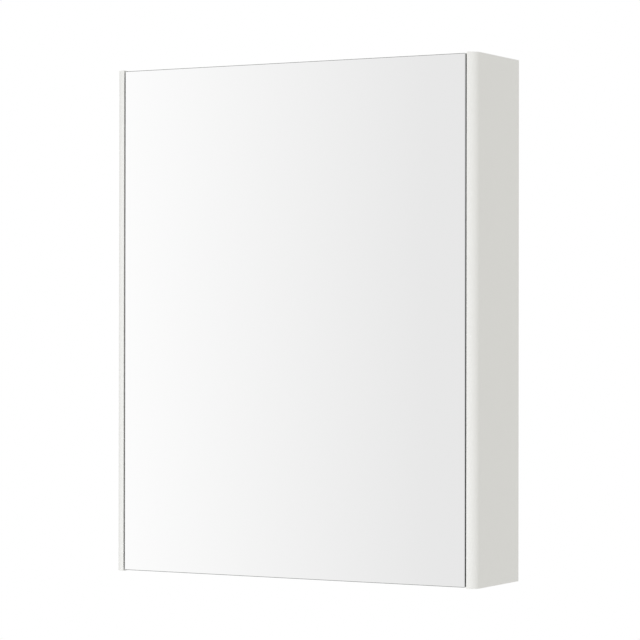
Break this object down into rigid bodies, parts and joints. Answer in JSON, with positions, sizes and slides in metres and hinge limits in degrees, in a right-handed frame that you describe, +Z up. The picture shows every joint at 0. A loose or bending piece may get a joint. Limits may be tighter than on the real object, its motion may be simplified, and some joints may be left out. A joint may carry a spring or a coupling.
{
  "type": "wall mirror cabinet",
  "caption": "White wall cabinet with one mirror door between its rounded side panels, on concealed four-bar hinges, with glass shelves and adjustable wall hooks.",
  "frame": {"origin": "on the wall plane, at the middle of the lower edge of the bottom panel's rear face", "axes": "+X to the right seen from the front, +Y into the wall, +Z up; the mirror faces -Y"},
  "size_m": [0.6, 0.142, 0.75],
  "materials": {
    "white_lacquer": "white satin lacquer on fibreboard",
    "dowel_wood": "raw beech",
    "shelf_glass": "clear float glass with polished edges",
    "mirror": "silvered float glass with a polished edge",
    "nickel_steel": "nickel-plated stamped steel",
    "zinc_casting": "nickel-plated zinc die casting",
    "screw_steel": "zinc-plated steel",
    "hook_steel": "zinc-plated steel plate",
    "white_plastic": "moulded white plastic",
    "foam_tape": "double-sided foam tape",
    "clear_rubber": "clear silicone"
  },
  "bodies": {
    "cabinet": {"side_panel_left": "white_lacquer", "side_panel_right": "white_lacquer", "top_panel": "white_lacquer", "bottom_panel": "white_lacquer", "back_panel": "white_lacquer", "carcass_dowels": "dowel_wood", "shelf_lower": "shelf_glass", "shelf_middle": "shelf_glass", "shelf_upper": "shelf_glass", "shelf_pins_lower": "nickel_steel", "shelf_pins_middle": "nickel_steel", "shelf_pins_upper": "nickel_steel", "hinge_arm_lower": "nickel_steel", "hinge_arm_upper": "nickel_steel", "hinge_arm_pins": "nickel_steel", "hinge_plate_lower": "zinc_casting", "hinge_plate_upper": "zinc_casting", "hinge_plate_screws": "screw_steel", "hinge_adjusting_screws": "screw_steel", "hanger_spindles": "screw_steel", "hanger_housing_left": "white_plastic", "hanger_housing_right": "white_plastic", "hanger_cover_left": "white_plastic", "hanger_cover_right": "white_plastic", "shelf_pads": "clear_rubber"},
    "carriage_left": {"hanger_carriage_left": "zinc_casting", "hanger_depth_screw_left": "screw_steel"},
    "hook_left": {"hanger_hook_left": "hook_steel"},
    "carriage_right": {"hanger_carriage_right": "zinc_casting", "hanger_depth_screw_right": "screw_steel"},
    "hook_right": {"hanger_hook_right": "hook_steel"},
    "outer_links": {"hinge_outer_link_lower": "nickel_steel", "hinge_outer_link_upper": "nickel_steel"},
    "inner_links": {"hinge_inner_link_lower": "nickel_steel", "hinge_inner_link_upper": "nickel_steel"},
    "door": {"door_board": "white_lacquer", "mirror_glass": "mirror", "mirror_tapes": "foam_tape", "door_bumpers": "clear_rubber", "hinge_cup_lower": "nickel_steel", "hinge_cup_upper": "nickel_steel", "hinge_cup_pins": "nickel_steel", "hinge_cup_screws": "screw_steel"}
  },
  "joints": [
    {"name": "outer_link_swing", "type": "hinge", "parent": "cabinet", "child": "outer_links", "pos_m": [-0.2405, -0.095, 0.375], "axis": [0, 0, 1], "range_deg": [0, 36.1]},
    {"name": "door_swing", "type": "hinge", "parent": "outer_links", "child": "door", "pos_m": [-0.2746, -0.1243, 0.375], "axis": [0, 0, -1], "range_deg": [0, 127]},
    {"name": "inner_link_swing", "type": "hinge", "parent": "cabinet", "child": "inner_links", "pos_m": [-0.2424, -0.1162, 0.375], "axis": [0, 0, 1], "range_deg": [0, 47]},
    {"name": "hanger_height_left", "type": "slide", "parent": "cabinet", "child": "carriage_left", "axis": [0, 0, 1], "range_m": [-0.006, 0.006]},
    {"name": "hanger_depth_left", "type": "slide", "parent": "carriage_left", "child": "hook_left", "axis": [0, 1, 0], "range_m": [-0.003, 0.001]},
    {"name": "hanger_height_right", "type": "slide", "parent": "cabinet", "child": "carriage_right", "axis": [0, 0, 1], "range_m": [-0.006, 0.006]},
    {"name": "hanger_depth_right", "type": "slide", "parent": "carriage_right", "child": "hook_right", "axis": [0, 1, 0], "range_m": [-0.003, 0.001]}
  ],
  "couplings": [
    {"joint": "outer_link_swing", "follows": "door_swing", "ratio": 0.28347},
    {"joint": "inner_link_swing", "follows": "door_swing", "ratio": 0.36945}
  ]
}
